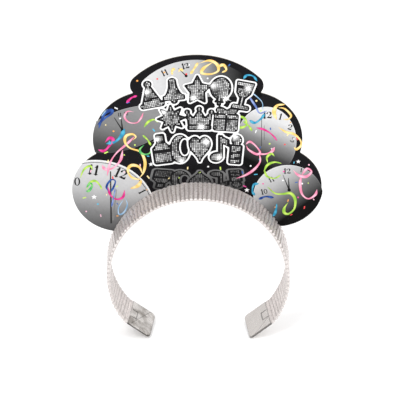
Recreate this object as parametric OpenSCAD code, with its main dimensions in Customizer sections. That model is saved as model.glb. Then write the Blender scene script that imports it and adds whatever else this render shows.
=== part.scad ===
// Party tiara: a scalloped printed card on a springy headband.
// The hoop lies in the XZ plane, its axis is Y. -Y is the printed front, +Z is up.
// Angles on the hoop are measured from +Z, clockwise seen from the front.

/* [Headband] */
// Radius of the head opening, at the crests of the inner flutes
hoop_r = 70; // [64:1:76]
// Width of the band from its front edge to its rear edge
band_w = 30; // [24:1:34]
// Thickness of the springy strip inside the foil sleeve
strip_t = 0.5; // [0.4:0.1:0.7]
// Height of the outer flutes above the strip
outer_flute_h = 1.8; // [1.2:0.1:2.4]
// Height of the inner flutes below the strip
inner_flute_h = 0.9; // [0.6:0.1:1.2]
// Flutes over the crown, between the two flex lines
crown_flutes = 54; // [48:2:60]
// Flutes on each free leg
leg_flutes = 16; // [15:1:16]

/* [End clips] */
// Length of each sheet metal clip
clip_l = 22; // [18:1:26]
// Thickness of the clip's sheet metal
sheet_t = 0.3; // [0.25:0.05:0.4]
// Radius of the clip's two tip corners
clip_corner_r = 3; // [2:0.5:5]

/* [Card] */
// Thickness of the greyboard
board_t = 1; // [0.8:0.1:1.5]
// Thickness of the printed foil film on its front
film_t = 0.12; // [0.1:0.01:0.15]
// Front face of the board, measured back from the middle of the band
board_y = 11; // [9:0.5:12]
// Height of the card's top above the centre of the hoop
card_top = 190.6; // [186:0.2:194]

/* [Flex] */
// Angle on the hoop where each leg starts to flex
flex_a = 80; // [76:1:84]
// Gap left at each flex line
flex_gap = 1; // [0.8:0.1:1.2]

/* [Hidden] */
$fn = 96;

foil_t = 0.3;                       // wall of the fluted sleeve, measured radially

// Heights above the crests of the inner flutes
strip_h0 = inner_flute_h;           // inner face of the strip
strip_h1 = strip_h0 + strip_t;      // outer face of the strip
crest_r = hoop_r + strip_h1 + outer_flute_h;
gap_a = flex_gap / 2 / hoop_r * 180 / PI;
flute_steps = 6;                    // straight facets along one flute

// The leg's centreline is made of three arcs, each [radius, heading where it ends]
leg_a1 = 95;
leg_r2 = hoop_r - 4;
leg_a2 = 124;
leg_r3 = 20;
leg_a3 = 141.5;

// A direction at an angle on the hoop, as [x, z]
function dir(a) = [sin(a), cos(a)];

// Centres of the leg's arcs: each next arc is tangent to the one before it
centre1 = [0, 0];
centre2 = centre1 + (hoop_r - leg_r2) * dir(leg_a1);
centre3 = centre2 + (leg_r2 - leg_r3) * dir(leg_a2);
mouth = centre3 + leg_r3 * dir(leg_a3);

// Lengths along the inner face, counted from the top of the hoop
len1 = hoop_r * leg_a1 * PI / 180;
len2 = len1 + leg_r2 * (leg_a2 - leg_a1) * PI / 180;
len3 = len2 + leg_r3 * (leg_a3 - leg_a2) * PI / 180;
flex_s = hoop_r * flex_a * PI / 180;
gap_s = flex_gap / 2;

// Heading of the band at a length along it
function heading(s) =
    s < len1 ? s / hoop_r * 180 / PI
    : s < len2 ? leg_a1 + (s - len1) / leg_r2 * 180 / PI
    : s < len3 ? leg_a2 + (s - len2) / leg_r3 * 180 / PI
    : leg_a3;

// A point at a length along the band and a height above its inner face.
// Lengths below zero lie on the left half of the crown.
function band_point(s, h) =
    let (a = heading(s))
    s < len1 ? centre1 + (hoop_r + h) * dir(a)
    : s < len2 ? centre2 + (leg_r2 + h) * dir(a)
    : s < len3 ? centre3 + (leg_r3 + h) * dir(a)
    : mouth + h * dir(a) + (s - len3) * [cos(a), -sin(a)];

// How far a flute stands off the strip: 0 in each valley, 1 on each crest
function wave(s, start, pitch) = abs(sin((s - start) / pitch * 180));

// Stands a flat outline up in the XZ plane, from y0 towards the back
module upright(y0, depth) {
    translate([0, y0 + depth, 0])
        rotate([90, 0, 0])
            linear_extrude(depth)
                children();
}

// The part of a disc between two angles on the hoop
module wedge(a0, a1, r) {
    steps = ceil((a1 - a0) / 30);
    rim = [for (i = [0:steps]) 1.5 * r * dir(a0 + (a1 - a0) * i / steps)];
    polygon(concat([[0, 0]], rim));
}

// A curved strip around the centre of the hoop, as a flat outline
module arc_strip(r, t, a0, a1) {
    intersection() {
        difference() {
            circle(r + t);
            circle(r);
        }
        wedge(a0, a1, r + t);
    }
}

// A sheet between two lists of [length along the band, height] points, as an outline
module band_sheet(under, over) {
    last = len(over) - 1;
    polygon(concat(
        [for (p = under) band_point(p[0], p[1])],
        [for (i = [last:-1:0]) band_point(over[i][0], over[i][1])]
    ));
}

// One fluted face of the sleeve: base height in the valleys, base + rise on the crests.
// It carries on flat for a length before and after the run of flutes.
function flute_face(start, count, pitch, base, rise, before, after) = concat(
    before > 0 ? [[start - before, base]] : [],
    [for (i = [0:count * flute_steps])
        let (s = start + i * pitch / flute_steps)
        [s, base + rise * wave(s, start, pitch)]],
    after > 0 ? [[start + count * pitch + after, base]] : []
);

// The foil sleeve around the strip: fluted outside and inside, closed along both edges
module foil_sleeve(start, count, pitch, tail) {
    open_end = 1;                   // the hollow runs out past both ends of the sleeve
    outer_rise = outer_flute_h - foil_t;
    inner_rise = inner_flute_h - foil_t;
    difference() {
        upright(-band_w / 2, band_w)
            band_sheet(
                flute_face(start, count, pitch, strip_h0 - foil_t, -inner_rise, 0, tail),
                flute_face(start, count, pitch, strip_h1 + foil_t, outer_rise, 0, tail)
            );
        upright(foil_t - band_w / 2, band_w - 2 * foil_t)
            band_sheet(
                flute_face(start, count, pitch, strip_h0, -inner_rise, open_end,
                    tail + open_end),
                flute_face(start, count, pitch, strip_h1, outer_rise, open_end,
                    tail + open_end)
            );
    }
}

// Mirrors a right-hand piece to the left
module left() {
    mirror([1, 0, 0]) children();
}

// Places a piece at the right clip's mouth: +X into the clip, +Z out of the hoop,
// with Z = 0 level with the crests of the inner flutes
module at_mouth() {
    translate([mouth[0], 0, mouth[1]])
        rotate([0, leg_a3, 0])
            children();
}

// ---- Card ----

// Centre height and size of each lobe of the card, which follow its top edge
top_r = 70;
top_z = card_top - top_r;
top_a = 46;                         // angle at which the top arc runs into a corner
top_corner_r = 10;
mid_lobe_r = 44;
mid_lobe = [39.2, card_top - 77.6];
low_left_r = 38.5;
low_left = [-61.5, card_top - 124.6];
low_right_r = 36.4;
low_right = [62.3, card_top - 121.4];
fill_w = 110;                       // the plain area behind the lobes
fill_z = [50, card_top - 40.6];

module top_lobe() {
    translate([-1, top_z]) {
        intersection() {
            circle(top_r);
            wedge(-top_a, top_a, top_r);
        }
        for (side = [-1, 1])
            translate((top_r - top_corner_r) * dir(side * top_a)) circle(top_corner_r);
    }
}

module card_outline() {
    difference() {
        union() {
            top_lobe();
            translate([-mid_lobe[0], mid_lobe[1]]) circle(mid_lobe_r);
            translate(mid_lobe) circle(mid_lobe_r);
            translate(low_left) circle(low_left_r);
            translate(low_right) circle(low_right_r);
            translate([-fill_w / 2, fill_z[0]]) square([fill_w, fill_z[1] - fill_z[0]]);
        }
        circle(crest_r);
    }
}

module card_board() {
    color("gray")
        upright(board_y, board_t)
            card_outline();
}

module printed_foil_face() {
    color("black")
        upright(board_y - film_t, film_t)
            card_outline();
}

// Hot-melt beads in the corner between the card's back and the flutes
bead_r = 2.4;
bead_step = 12;
bead_span = 60;

module glue_beads() {
    bead_y = board_y + board_t;
    color("ivory")
        difference() {
            for (a = [-bead_span:bead_step:bead_span])
                translate([crest_r * sin(a), bead_y, crest_r * cos(a)])
                    sphere(bead_r);
            upright(bead_y - 2 * bead_r, 2 * bead_r) circle(crest_r + 2 * bead_r);
            upright(bead_y - 3 * bead_r, 6 * bead_r) circle(crest_r, $fn = 256);
        }
}

// ---- Band ----

strip_play = 0.1;                   // between each edge of the strip and the sleeve
strip_w = band_w - 2 * foil_t - 2 * strip_play;
crown_run = 2 * (flex_s - gap_s);
crown_pitch = crown_run / crown_flutes;
leg_start = flex_s + gap_s;
leg_pitch = (len3 - leg_start) / leg_flutes;
sleeve_tail = 6;                    // the sleeve's flat end inside a clip
strip_tail = clip_l - 3;            // how far the strip runs into the clip

module spring_strip_crown() {
    color("gainsboro")
        upright(-strip_w / 2, strip_w)
            arc_strip(hoop_r + strip_h0, strip_t, gap_a - flex_a, flex_a - gap_a);
}

// The strip's facets meet in the valleys and under the crests of the flutes
module spring_strip_right() {
    s_at = concat(
        [for (i = [0:2 * leg_flutes]) leg_start + i * leg_pitch / 2],
        [len3 + strip_tail]
    );
    color("gainsboro")
        upright(-strip_w / 2, strip_w)
            band_sheet([for (s = s_at) [s, strip_h0]], [for (s = s_at) [s, strip_h1]]);
}

module foil_sleeve_crown() {
    color("silver")
        foil_sleeve(-crown_run / 2, crown_flutes, crown_pitch, 0);
}

module foil_sleeve_right() {
    color("silver")
        foil_sleeve(leg_start, leg_flutes, leg_pitch, sleeve_tail);
}

// ---- End clips ----

side_play = 0.2;                    // between the band's edge and the clip's side wall
tongue = [5, 9];                    // length and width of the lanced tongue
tongue_u = 1.2;                     // from the clip's mouth to the tongue's root
slot_w = 0.4;

// A plate with two rounded corners at its far end, as a flat outline
module tip_plate(l, w, r) {
    translate([0, -w / 2]) square([l - r, w]);
    translate([0, -w / 2 + r]) square([l, w - 2 * r]);
    for (side = [-1, 1])
        translate([l - r, side * (w / 2 - r)]) circle(r);
}

// The cut on three sides of a tongue that bites the strip
module tongue_cut() {
    difference() {
        translate([tongue_u, -tongue[1] / 2 - slot_w])
            square([tongue[0] + slot_w, tongue[1] + 2 * slot_w]);
        translate([tongue_u - 1, -tongue[1] / 2])
            square([tongue[0] + 1, tongue[1]]);
    }
}

module end_clip_right() {
    inner_w = band_w + 2 * side_play;
    inner_h = strip_t + 2 * foil_t;
    color("lightgray")
        at_mouth()
            translate([0, 0, strip_h0 - foil_t])
                difference() {
                    translate([0, 0, -sheet_t])
                        linear_extrude(inner_h + 2 * sheet_t)
                            tip_plate(clip_l, inner_w + 2 * sheet_t, clip_corner_r);
                    translate([-1, 0, 0])
                        linear_extrude(inner_h)
                            tip_plate(clip_l - sheet_t + 1, inner_w, clip_corner_r - sheet_t);
                    translate([0, 0, -2 * sheet_t])
                        linear_extrude(2 * sheet_t)
                            tongue_cut();
                }
}

card_board();
printed_foil_face();
glue_beads();
spring_strip_crown();
foil_sleeve_crown();
spring_strip_right();
foil_sleeve_right();
end_clip_right();
left() spring_strip_right();  // spring_strip_left
left() foil_sleeve_right();  // foil_sleeve_left
left() end_clip_right();  // end_clip_left
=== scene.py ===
"""Looks of a party tiara: a printed card that stands on a springy, fluted foil headband.

The hoop lies in the XZ plane and -Y is the printed front. Shapes are worked out in
millimetres and built in metres. "Card millimetres" are X and Z on the card, counted
from the centre of the hoop.
"""

import math

import bmesh
import bpy
import numpy as np
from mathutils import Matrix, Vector


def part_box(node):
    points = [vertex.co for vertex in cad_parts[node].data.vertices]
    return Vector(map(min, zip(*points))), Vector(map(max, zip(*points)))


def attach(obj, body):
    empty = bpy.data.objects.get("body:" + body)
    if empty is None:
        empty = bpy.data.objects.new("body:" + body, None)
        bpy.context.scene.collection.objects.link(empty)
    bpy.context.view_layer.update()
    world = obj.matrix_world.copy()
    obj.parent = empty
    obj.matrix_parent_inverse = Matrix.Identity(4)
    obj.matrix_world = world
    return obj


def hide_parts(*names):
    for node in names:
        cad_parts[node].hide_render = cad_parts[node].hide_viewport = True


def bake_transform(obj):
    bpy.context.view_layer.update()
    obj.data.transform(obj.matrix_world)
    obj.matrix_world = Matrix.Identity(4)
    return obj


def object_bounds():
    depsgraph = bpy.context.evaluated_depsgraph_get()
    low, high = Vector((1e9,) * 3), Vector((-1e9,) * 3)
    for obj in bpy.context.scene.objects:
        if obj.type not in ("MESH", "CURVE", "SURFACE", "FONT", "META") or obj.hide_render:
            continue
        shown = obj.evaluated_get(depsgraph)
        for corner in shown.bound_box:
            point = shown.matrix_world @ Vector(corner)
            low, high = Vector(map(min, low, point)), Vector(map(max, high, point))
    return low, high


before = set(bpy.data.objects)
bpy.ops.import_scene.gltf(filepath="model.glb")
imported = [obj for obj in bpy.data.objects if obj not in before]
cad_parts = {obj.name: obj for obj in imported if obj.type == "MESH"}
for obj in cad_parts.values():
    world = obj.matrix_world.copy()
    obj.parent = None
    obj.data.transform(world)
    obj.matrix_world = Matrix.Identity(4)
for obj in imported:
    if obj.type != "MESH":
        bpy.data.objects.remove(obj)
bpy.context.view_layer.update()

MM = 0.001

# ---- Sizes read from the parts in model.glb, in millimetres ----


def box_mm(node):
    """A node's lowest and highest corners."""
    low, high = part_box(node)
    return np.array(low) / MM, np.array(high) / MM


board_low, board_high = box_mm("card_board")
film_low, film_high = box_mm("printed_foil_face")
sleeve_low, sleeve_high = box_mm("foil_sleeve_crown")
strip_low, strip_high = box_mm("spring_strip_crown")

card_top = board_high[2]
crest_r = sleeve_high[2]
band_w = sleeve_high[1] - sleeve_low[1]
strip_w = strip_high[1] - strip_low[1]

# Heights above the crests of the inner flutes, and the hoop's inner radius there
STRIP_H0 = 0.9
STRIP_H1 = 1.4
FOIL_T = 0.3
MID_H = (STRIP_H0 + STRIP_H1) / 2
hoop_r = strip_high[2] - STRIP_H1
crest_h = crest_r - hoop_r

# A leg runs in three arcs, as in the CAD: their radii, the first of which is the hoop's own,
# and the angle from the top, in degrees, at which each of them ends
LEG_A1, LEG_R2, LEG_A2, LEG_R3, LEG_A3 = 95, hoop_r - 4, 124, 20, 141.5
CLIP_L = 22
SLEEVE_TAIL = 6                   # how far the sleeve and the strip reach into a clip
STRIP_TAIL = 19
SIDE_NAMES = {1: "right", -1: "left"}


def heading_dir(degrees):
    """The unit vector in X and Z at an angle from the top of the hoop."""
    a = np.radians(degrees)
    return np.array([np.sin(a), np.cos(a)])


centre2 = (hoop_r - LEG_R2) * heading_dir(LEG_A1)
centre3 = centre2 + (LEG_R2 - LEG_R3) * heading_dir(LEG_A2)
mouth = centre3 + LEG_R3 * heading_dir(LEG_A3)
len1 = hoop_r * math.radians(LEG_A1)
len2 = len1 + LEG_R2 * math.radians(LEG_A2 - LEG_A1)
len3 = len2 + LEG_R3 * math.radians(LEG_A3 - LEG_A2)


def band_point(s, h):
    """X and Z on the right half of the band, at a length from the top and a height."""
    s, h = np.broadcast_arrays(np.asarray(s, float), np.asarray(h, float))
    a1 = s / hoop_r
    a2 = math.radians(LEG_A1) + (s - len1) / LEG_R2
    a3 = math.radians(LEG_A2) + (s - len2) / LEG_R3
    end = math.radians(LEG_A3)
    parts = [
        (s < len1, 0, 0, hoop_r, a1),
        ((s >= len1) & (s < len2), *centre2, LEG_R2, a2),
        ((s >= len2) & (s < len3), *centre3, LEG_R3, a3),
    ]
    x = mouth[0] + h * math.sin(end) + (s - len3) * math.cos(end)
    z = mouth[1] + h * math.cos(end) - (s - len3) * math.sin(end)
    for here, cx, cz, r, a in parts:
        x = np.where(here, cx + (r + h) * np.sin(a), x)
        z = np.where(here, cz + (r + h) * np.cos(a), z)
    return x, z


def smooth_step(t):
    """Eases from 0 to 1 as t goes from 0 to 1."""
    t = np.clip(t, 0, 1)
    return t * t * (3 - 2 * t)


PIVOT_A = 80                      # each leg flexes this many degrees from the top of the hoop
PIVOT = hoop_r * heading_dir(PIVOT_A)
PIVOT_S = hoop_r * math.radians(PIVOT_A)
LEG_EASE = 20                     # what differs on a leg sets in over this length below the pivot
SPLAY_OUT, SPLAY_BACK = 3.9, 2.4
OPENED = {1: 1.2, -1: -1.2}       # degrees that the right and left legs stand open or closed


def leg_point(side, s, h, y):
    """X and Z on a real leg: a little twisted, so that its near edge stands outward."""
    share = -y / band_w * smooth_step((s - PIVOT_S) / (len3 - PIVOT_S))
    x, z = band_point(s - SPLAY_BACK * share, h + SPLAY_OUT * share)
    a = math.radians(OPENED[side]) * smooth_step((s - PIVOT_S) / LEG_EASE)
    dx, dz = x - PIVOT[0], z - PIVOT[1]
    x = PIVOT[0] + dx * np.cos(a) - dz * np.sin(a)
    z = PIVOT[1] + dx * np.sin(a) + dz * np.cos(a)
    return side * x, z


# ---- Helpers: noise, meshes, materials ----


def ripple(u, v, seed, waves=6):
    """Smooth noise from -1 to 1 over a plane, with features about one unit across."""
    rng = np.random.default_rng(seed)
    total = 0
    for _ in range(waves):
        a, k, p = rng.uniform(0, math.tau), rng.uniform(2.0, 6.5), rng.uniform(0, math.tau)
        total = total + np.sin(k * (math.cos(a) * u + math.sin(a) * v) + p)
    return total / waves


def add_object(name, verts_mm, faces, smooth=True):
    """A mesh object from millimetre points."""
    mesh = bpy.data.meshes.new(name)
    mesh.from_pydata((np.asarray(verts_mm, float) * MM).tolist(), [], faces)
    mesh.validate()
    mesh.polygons.foreach_set("use_smooth", [smooth] * len(mesh.polygons))
    obj = bpy.data.objects.new(name, mesh)
    bpy.context.scene.collection.objects.link(obj)
    return obj


def set_attribute(obj, name, values):
    """A number per vertex, which materials read."""
    layer = obj.data.attributes.new(name, "FLOAT", "POINT")
    layer.data.foreach_set("value", np.asarray(values, np.float32))


def set_colours(obj, name, colours):
    """A linear colour per vertex, which materials read."""
    layer = obj.data.color_attributes.new(name, "FLOAT_COLOR", "POINT")
    rgba = np.ones((len(colours), 4), np.float32)
    rgba[:, :3] = colours
    layer.data.foreach_set("color", rgba.ravel())


def tidy_mesh(obj, merge_mm=0.001):
    """Joins points that coincide, and turns every face outward."""
    bm = bmesh.new()
    bm.from_mesh(obj.data)
    bmesh.ops.remove_doubles(bm, verts=bm.verts, dist=merge_mm * MM)
    bmesh.ops.recalc_face_normals(bm, faces=bm.faces)
    bm.to_mesh(obj.data)
    bm.free()


def tube(name, grid, smooth=True):
    """A closed tube through rings of millimetre points, given as rings by points by XYZ."""
    count, ring = grid.shape[:2]
    faces = []
    for i in range(count - 1):
        a, b = i * ring, (i + 1) * ring
        faces += [(a + j, a + (j + 1) % ring, b + (j + 1) % ring, b + j) for j in range(ring)]
    faces.append(tuple(range(ring)))
    faces.append(tuple((count - 1) * ring + j for j in range(ring)))
    return add_object(name, grid.reshape(-1, 3), faces, smooth)


def apply_modifiers(obj):
    """Puts the result of the object's modifiers into its mesh."""
    graph = bpy.context.evaluated_depsgraph_get()
    result = bpy.data.meshes.new_from_object(obj.evaluated_get(graph), depsgraph=graph)
    obj.modifiers.clear()
    obj.data = result


class Shader:
    """A material under construction: a Principled shader and the nodes that feed it."""

    def __init__(self, name, **sockets):
        self.material = bpy.data.materials.new(name)
        self.material.use_nodes = True
        self.nodes = self.material.node_tree.nodes
        self.links = self.material.node_tree.links
        self.bsdf = self.nodes["Principled BSDF"]
        for socket, value in sockets.items():
            self.bsdf.inputs[socket.replace("_", " ")].default_value = value
        self.place = self.nodes.new("ShaderNodeTexCoord").outputs["Object"]

    def link(self, source, target):
        self.links.new(source, target)

    def feed(self, socket, source):
        self.link(source, self.bsdf.inputs[socket])

    def stretched(self, scale):
        """The object's own coordinates, in metres, scaled per axis."""
        node = self.nodes.new("ShaderNodeMapping")
        node.inputs["Scale"].default_value = scale
        self.link(self.place, node.inputs["Vector"])
        return node.outputs["Vector"]

    def noise(self, scale, detail=3, vector=None, roughness=0.5):
        node = self.nodes.new("ShaderNodeTexNoise")
        node.inputs["Scale"].default_value = scale
        node.inputs["Detail"].default_value = detail
        node.inputs["Roughness"].default_value = roughness
        self.link(vector or self.place, node.inputs["Vector"])
        return node.outputs["Fac"]

    def cells(self, scale, feature="F1"):
        node = self.nodes.new("ShaderNodeTexVoronoi")
        node.feature = feature
        node.inputs["Scale"].default_value = scale
        self.link(self.place, node.inputs["Vector"])
        return node.outputs["Distance"]

    def attribute(self, name, output="Fac"):
        node = self.nodes.new("ShaderNodeAttribute")
        node.attribute_name = name
        return node.outputs[output]

    def ramp(self, source, *stops):
        """stops are (place, value or colour)."""
        node = self.nodes.new("ShaderNodeValToRGB")
        elements = node.color_ramp.elements
        while len(elements) < len(stops):
            elements.new(0.5)
        for element, (place, value) in zip(elements, stops):
            element.position = place
            grey = isinstance(value, (int, float))
            element.color = (value, value, value, 1) if grey else (*value, 1)
        self.link(source, node.inputs["Fac"])
        return node.outputs["Color"]

    def mix(self, share, one, other, mode="MIX"):
        """share is a number or a socket; one and other are colours or sockets."""
        node = self.nodes.new("ShaderNodeMix")
        node.data_type = "RGBA"
        node.blend_type = mode
        colour_sockets = [i for i in node.inputs if i.type == "RGBA"]
        if isinstance(share, (int, float)):
            node.inputs[0].default_value = share
        else:
            self.link(share, node.inputs[0])
        for source, target in zip((one, other), colour_sockets):
            if isinstance(source, tuple):
                target.default_value = (*source, 1)
            else:
                self.link(source, target)
        return next(o for o in node.outputs if o.type == "RGBA")

    def rough(self, scale, low, high, top=0.7):
        """A roughness that runs from low to high in patches."""
        self.feed("Roughness", self.ramp(self.noise(scale), (0.3, low), (top, high)))

    def tint(self, scale, dark, light):
        """A colour that runs from dark to light in patches."""
        self.feed("Base Color", self.ramp(self.noise(scale), (0.3, dark), (0.7, light)))

    def bump(self, height, distance_mm, strength=1.0, normal=None):
        node = self.nodes.new("ShaderNodeBump")
        node.inputs["Strength"].default_value = strength
        node.inputs["Distance"].default_value = distance_mm * MM
        self.link(height, node.inputs["Height"])
        if normal:
            self.link(normal, node.inputs["Normal"])
        return node.outputs["Normal"]


# ---- Materials ----


def foil_material():
    """Metallised film: painted highlight on the crests and seams, painted shade in the creases, and
    fine crinkles.
    """
    m = Shader("sleeve_foil", Metallic=0.3)
    # Painted light and shade: the crest attribute takes the colour from dark in the grooves to bright
    # on the crests and seams.
    fold_light_and_shade = m.ramp(
        m.attribute("crest"),
        (0.0, (0.38, 0.335, 0.32)),
        (0.25, (0.62, 0.565, 0.545)),
        (0.75, (0.76, 0.70, 0.68)),
        (1.0, (0.86, 0.81, 0.79)),
    )
    pleats = m.ramp(m.noise(1.0, 3, m.stretched((1100, 60, 1100))), (0.35, 0.78), (0.6, 1.0))
    m.feed("Base Color", m.mix(1.0, fold_light_and_shade, pleats, "MULTIPLY"))
    m.rough(900, 0.22, 0.42, top=0.75)
    crinkle = m.bump(m.noise(1.0, 4, m.stretched((900, 160, 900)), 0.6), 0.12)
    m.feed("Normal", m.bump(m.cells(600, "SMOOTH_F1"), 0.3, 0.8, crinkle))
    return m.material


def steel_material(name, stained):
    """Tinned sheet: stains, rolling marks and small dents, darker towards its rims, and painted shade
    at its mouth, along the tongue's slot and in its crease.
    """
    m = Shader(name, Metallic=1.0)
    stains = m.ramp(m.noise(110, 3), (0.38, (0.34, 0.31, 0.28)), (0.6, (0.90, 0.86, 0.83)))
    tone = m.mix(stained, (0.86, 0.81, 0.78), stains)
    edge_and_crease_shade = m.ramp(m.attribute("edge"), (0.0, 0.16), (0.5, 0.75), (0.9, 1.0))
    m.feed("Base Color", m.mix(1.0, tone, edge_and_crease_shade, "MULTIPLY"))
    m.rough(500, 0.20, 0.38, top=0.75)
    lines = m.bump(m.noise(1.0, 3, m.stretched((300, 4000, 300))), 0.01, 0.6)
    m.feed("Normal", m.bump(m.noise(320, 3), 0.18, 0.5, lines))
    return m.material


def strip_material():
    """Satin silver-grey plastic, drawn along its length."""
    m = Shader("spring_strip", Metallic=0.0)
    m.tint(300, (0.50, 0.48, 0.46), (0.62, 0.60, 0.58))
    m.rough(700, 0.35, 0.5)
    m.feed("Normal", m.bump(m.noise(1.0, 3, m.stretched((200, 3000, 200))), 0.02))
    return m.material


def board_material():
    """Greyboard: paper fibres and flecks."""
    m = Shader("greyboard", Specular_IOR_Level=0.2)
    fibres = m.noise(1.0, 5, m.stretched((2500, 900, 500)), 0.7)
    tone = m.ramp(
        fibres, (0.3, (0.40, 0.375, 0.34)), (0.55, (0.52, 0.49, 0.45)), (0.8, (0.62, 0.59, 0.55))
    )
    flecks = m.ramp(m.cells(700), (0.04, 0.55), (0.12, 1.0))
    m.feed("Base Color", m.mix(1.0, tone, flecks, "MULTIPLY"))
    m.rough(400, 0.8, 0.95)
    m.feed("Normal", m.bump(fibres, 0.06))
    return m.material


def ground_material():
    """The black ground of the print, under clear film."""
    m = Shader("print_ground", Specular_IOR_Level=0.09)
    m.tint(60, (0.004, 0.004, 0.005), (0.007, 0.006, 0.008))
    m.rough(250, 0.22, 0.34)
    m.feed("Normal", m.bump(m.noise(130, 2), 0.05, 0.6))
    return m.material


def ink_material(name, gloss):
    """Printed ink: its colour comes with the mesh, mottled a little by the foil below."""
    m = Shader(name, Specular_IOR_Level=gloss)
    mottle = m.ramp(m.noise(500, 3), (0.3, 0.93), (0.7, 1.0))
    m.feed("Base Color", m.mix(1.0, m.attribute("print", "Color"), mottle, "MULTIPLY"))
    m.rough(300, 0.25, 0.38)
    m.feed("Normal", m.bump(m.noise(130, 2), 0.05, 0.6))
    return m.material


def glue_material():
    """Hot-melt glue: cloudy and yellowish."""
    m = Shader("hot_melt", Subsurface_Weight=0.3, Coat_Weight=0.2)
    m.bsdf.inputs["Subsurface Radius"].default_value = (0.003, 0.0025, 0.0015)
    m.tint(400, (0.74, 0.66, 0.46), (0.86, 0.80, 0.64))
    m.rough(600, 0.25, 0.4)
    m.feed("Normal", m.bump(m.noise(700), 0.08))
    return m.material


def floor_material():
    """Pale, matte and even."""
    m = Shader("studio_floor", Roughness=0.9, Specular_IOR_Level=0.1)
    m.tint(8, (0.93, 0.93, 0.93), (0.95, 0.95, 0.95))
    return m.material


# ---- The headband ----

FLUTES = 43                       # flutes from the top of the hoop to a clip
PITCH = len3 / FLUTES
ROWS_PER_FLUTE = 14
EDGE_R = 1.5                      # how round the flutes' closed ends are
SEAM_TURN = 50                    # degrees that the flutes' ends turn under, to the seam
SEAM_TUCK = 0.045                 # the seam is drawn in by this share between two flutes
PINCH_Y, PINCH_W = 12.3, 0.55     # where the flutes are pinched inside both edges, and how wide
FLUTE_LEAN = 5.0                  # how far a flute's near end lies up the band at most
CRUMPLED_A = 0.78                 # the foil is crumpled most at this angle, in radians
CRUMPLED_L = 16


def across_band():
    """Distances across the band, and the share of the flute's height that is left there.

    Both edges are seams: the outer and inner flutes swell out past them as two rows of beads.
    """
    seam = math.radians(SEAM_TURN)
    turn = np.linspace(-seam, math.pi / 2, 9)
    near = -band_w / 2 + EDGE_R * (1 - np.cos(turn))
    swell = (np.sin(turn) + math.sin(seam)) / (1 + math.sin(seam))
    by_pinch = PINCH_Y - 0.1 + np.array([-0.7, 0, 0.7])
    middle = np.concatenate([-by_pinch[::-1], np.linspace(-10.4, 10.4, 12), by_pinch])
    y = np.concatenate([near, middle, -near[::-1]])
    return y, np.concatenate([swell, np.ones(len(middle)), swell[::-1]])


def crumpled(s):
    """How crumpled the foil is: most at 45 degrees down each side."""
    return np.exp(-(((s - CRUMPLED_A * hoop_r) / CRUMPLED_L) ** 2))


def flute_wave(row, yy, seed):
    """The flutes' height, from 0 in a groove to 1 on a crest, with their creases and dents."""
    rng = np.random.default_rng(seed)
    gain = rng.uniform(0.86, 1.0, FLUTES + 1)
    crease_at = rng.uniform(0.40, 0.60, FLUTES + 1)
    crease = rng.uniform(0.05, 0.22, FLUTES + 1)
    flute = np.minimum(row.astype(int), FLUTES)
    t = row - flute               # from 0 to 1 across a flute
    arch = np.abs(np.sin(np.pi * t)) ** 0.8
    arch = arch - crease[flute] * np.exp(-(((t - crease_at[flute]) / 0.09) ** 2))
    wave = np.where(row > FLUTES, 0, np.clip(arch * gain[flute], 0, 1))

    s = row * PITCH
    wave = wave * (1 - 0.45 * crumpled(s) * np.clip(ripple(s / 3, yy / 5, seed + 1), 0, 1))
    bumpy = 0.25 + 0.45 * smooth_step((s - PIVOT_S) / LEG_EASE)
    wave = wave * (1 - bumpy * np.clip(ripple(s / 1.8, yy / 1.5, seed + 3), 0, 1))

    # The flutes are pinched just inside both edges, which leaves a row of beads there
    pinch = np.exp(-(((np.abs(yy) - PINCH_Y) / PINCH_W) ** 2))
    return wave * (1 - 0.5 * pinch)


def leaning(s, yy, seed):
    """Lengths along the band, once the flutes lean and waver: near ends lie further up."""
    near_share = 0.5 - yy / band_w
    lean = FLUTE_LEAN * np.sin(np.pi * np.clip(s / (0.85 * len3), 0, 1)) ** 1.5
    waver = 0.3 + 1.6 * crumpled(s)
    anchored = smooth_step(s / 6) * smooth_step((len3 - s) / 6)
    return s - anchored * (lean * near_share + waver * ripple(s / 9, yy / 7, seed + 2))


def foil_sleeve(side, seed):
    """Half of the sleeve, from the top of the hoop into the clip, as one closed tube."""
    rows = np.arange(FLUTES * ROWS_PER_FLUTE + 1) / ROWS_PER_FLUTE
    tail = FLUTES + np.linspace(0, SLEEVE_TAIL / PITCH, 5)[1:]
    y, edge = across_band()
    row, yy = np.meshgrid(np.concatenate([rows, tail]), y, indexing="ij")
    wave = flute_wave(row, yy, seed)
    crumple_painted_shade = crumpled(row * PITCH)
    s = leaning(row * PITCH, yy, seed)

    outer = STRIP_H1 + FOIL_T + (crest_h - STRIP_H1 - FOIL_T) * wave
    inner = STRIP_H0 - FOIL_T - (STRIP_H0 - FOIL_T) * wave
    outer = MID_H + (outer - MID_H) * edge
    inner = MID_H - (MID_H - inner) * edge
    yy = yy * (1 - SEAM_TUCK * (1 - wave) * (1 - edge))

    n = len(y)
    loops = []
    for height, order in ((outer, slice(None)), (inner, slice(n - 2, 0, -1))):
        x, z = leg_point(side, s[:, order], height[:, order], yy[:, order])
        loops.append(np.stack([x, yy[:, order], z], -1))
    obj = tube(f"foil_sleeve_{SIDE_NAMES[side]}_half", np.concatenate(loops, 1))

    # Painted shade and highlight: the foil is painted darker in its grooves, where it is crumpled and
    # on the legs, and brighter at its seams
    leg_painted_shade = 1 - 0.3 * smooth_step((s - PIVOT_S) / LEG_EASE)
    crest = np.clip(wave * (1 - 0.4 * crumple_painted_shade) * leg_painted_shade + 0.6 * (1 - edge), 0, 1)
    set_attribute(obj, "crest", np.concatenate([crest, crest[:, n - 2:0:-1]], 1).ravel())
    tidy_mesh(obj)
    return obj


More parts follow.
